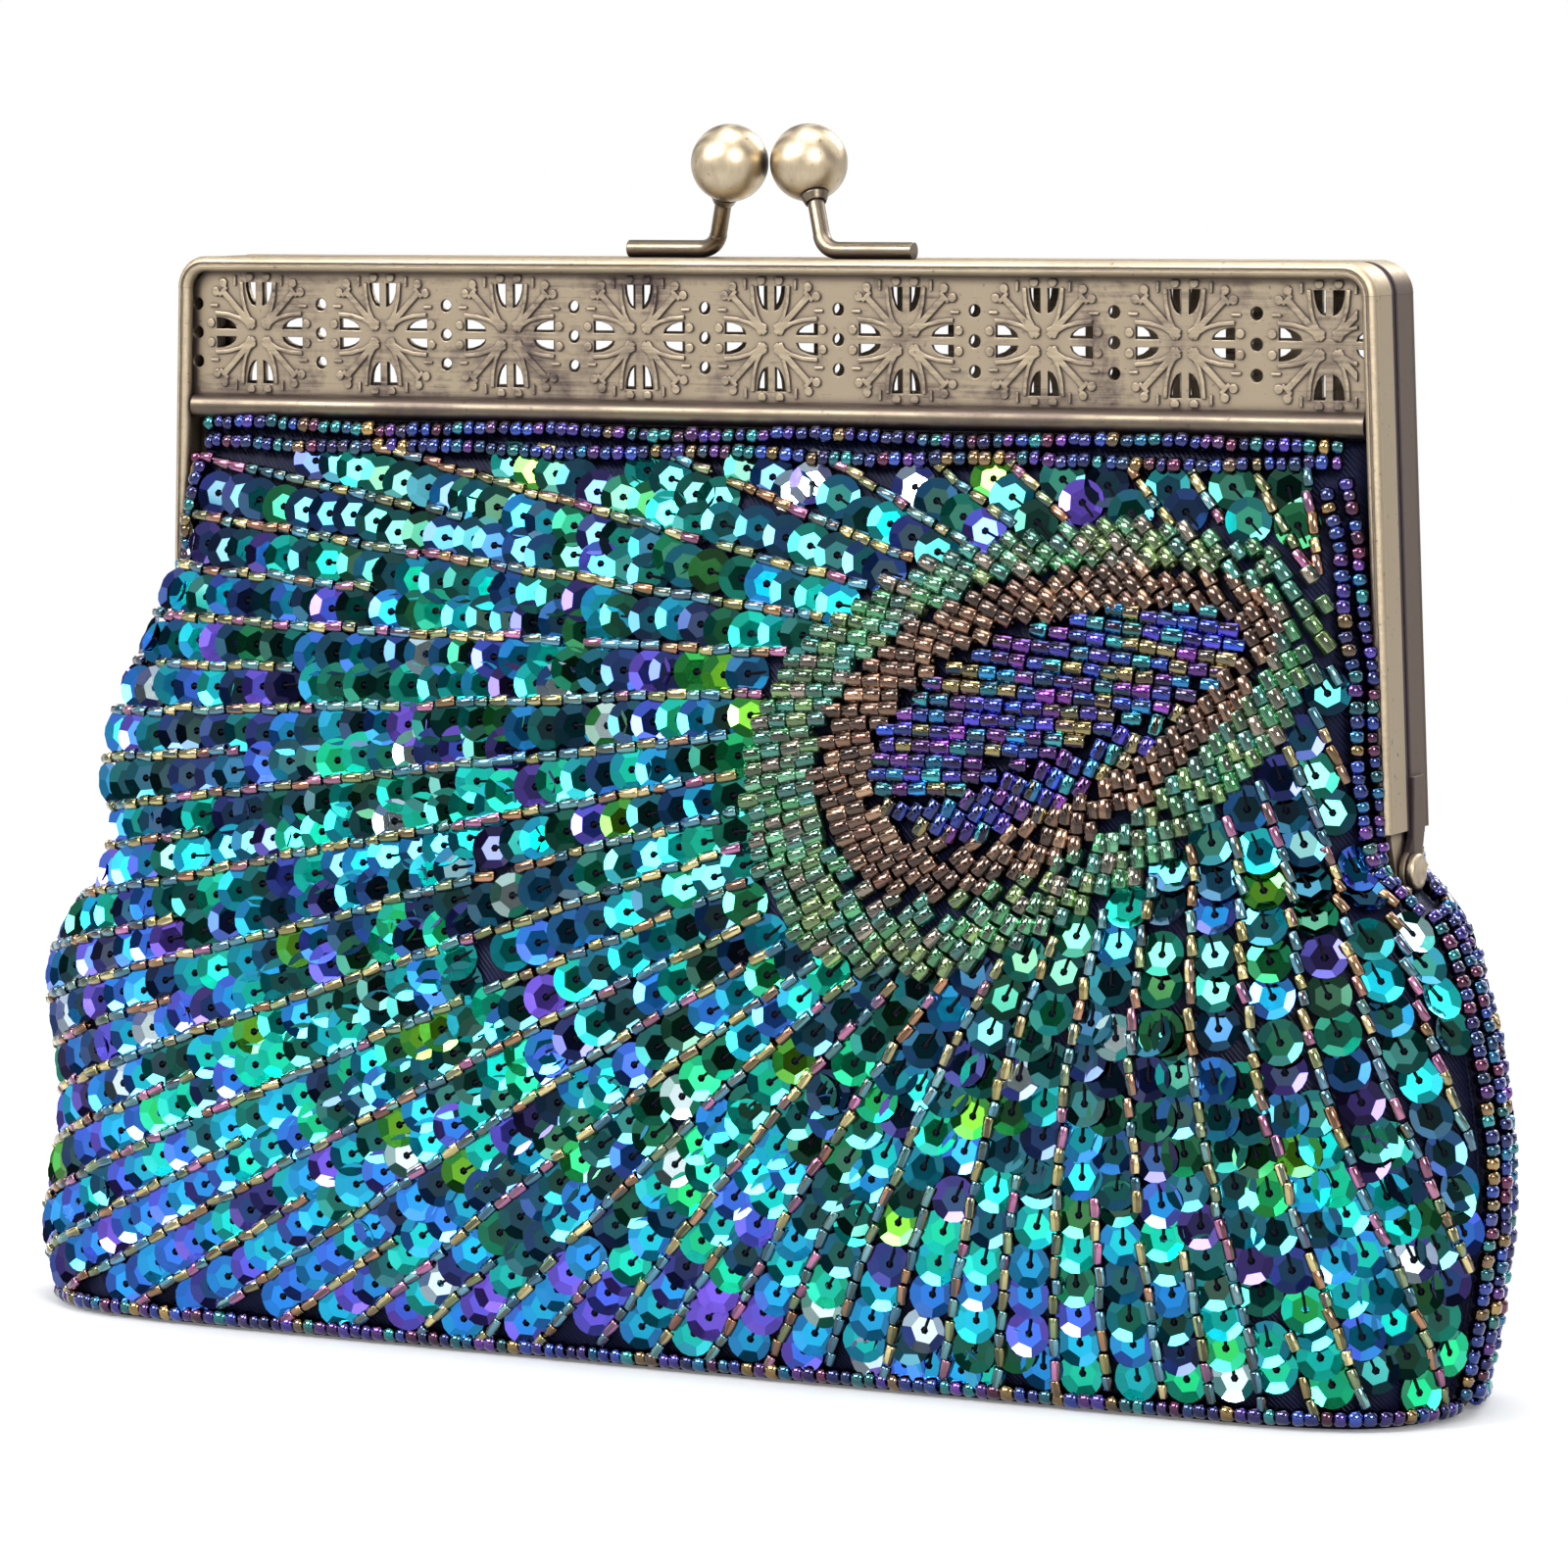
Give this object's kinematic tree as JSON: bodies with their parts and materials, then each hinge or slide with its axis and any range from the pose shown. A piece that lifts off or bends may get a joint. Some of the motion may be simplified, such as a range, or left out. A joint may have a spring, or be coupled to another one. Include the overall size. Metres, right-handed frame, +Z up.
{
  "type": "evening bag",
  "caption": "Small sequined clutch with a pierced metal frame that opens on two side rivets and closes with a two-ball kiss lock.",
  "frame": {"origin": "on the surface the bag stands on, under the middle of the base", "axes": "+Z up, X along the bag with +X to the viewer's right, front of the bag towards -Y"},
  "size_m": [0.2532, 0.054, 0.1907],
  "materials": {
    "frame_brass": "antique brass plate, brushed and lightly worn",
    "filigree_brass": "stamped and pierced antique brass, dark in the recesses",
    "clasp_brass": "brushed antique brass",
    "satin": "navy satin under the beadwork",
    "lining_satin": "dark navy satin lining",
    "board": "grey-brown stiffening board",
    "sequin": "faceted cup sequins with a blue-green metallic lustre",
    "bugle_bead": "hexagonal tube beads with gold, olive and blue lustre",
    "eye_bead": "hexagonal tube beads in green, bronze and dark blue",
    "seed_bead": "round seed beads with a purple and blue lustre",
    "thread": "dark sewing thread"
  },
  "bodies": {
    "bag": {"left_hinge_rivet": "frame_brass", "right_hinge_rivet": "frame_brass", "left_corner_gusset": "satin", "right_corner_gusset": "satin", "front_lower_panel": "satin", "rear_lower_panel": "satin", "front_lower_lining": "lining_satin", "rear_lower_lining": "lining_satin", "lining_floor": "lining_satin", "base_panel": "satin", "base_board": "board", "inner_pocket": "lining_satin", "left_seam_beads": "seed_bead", "right_seam_beads": "seed_bead", "base_beads": "seed_bead"},
    "front_half": {"front_frame": "frame_brass", "front_filigree_plate": "filigree_brass", "front_rail": "frame_brass", "front_clasp_arm": "clasp_brass", "front_clasp_collar": "clasp_brass", "front_clasp_ball": "clasp_brass", "front_upper_panel": "satin", "front_upper_lining": "lining_satin", "front_rail_beads": "seed_bead", "front_leg_beads": "seed_bead"},
    "rear_half": {"rear_frame": "frame_brass", "rear_filigree_plate": "filigree_brass", "rear_rail": "frame_brass", "rear_clasp_arm": "clasp_brass", "rear_clasp_collar": "clasp_brass", "rear_clasp_ball": "clasp_brass", "rear_upper_panel": "satin", "rear_upper_lining": "lining_satin", "rear_rail_beads": "seed_bead", "rear_leg_beads": "seed_bead"}
  },
  "joints": [
    {"name": "front_opening", "type": "hinge", "parent": "bag", "child": "front_half", "pos_m": [0, 0, 0.08], "axis": [1, 0, 0], "range_deg": [0, 35]},
    {"name": "rear_opening", "type": "hinge", "parent": "bag", "child": "rear_half", "pos_m": [0, 0, 0.08], "axis": [1, 0, 0], "range_deg": [-35, 0]}
  ],
  "couplings": [
    {"joint": "rear_opening", "follows": "front_opening", "ratio": -1}
  ]
}
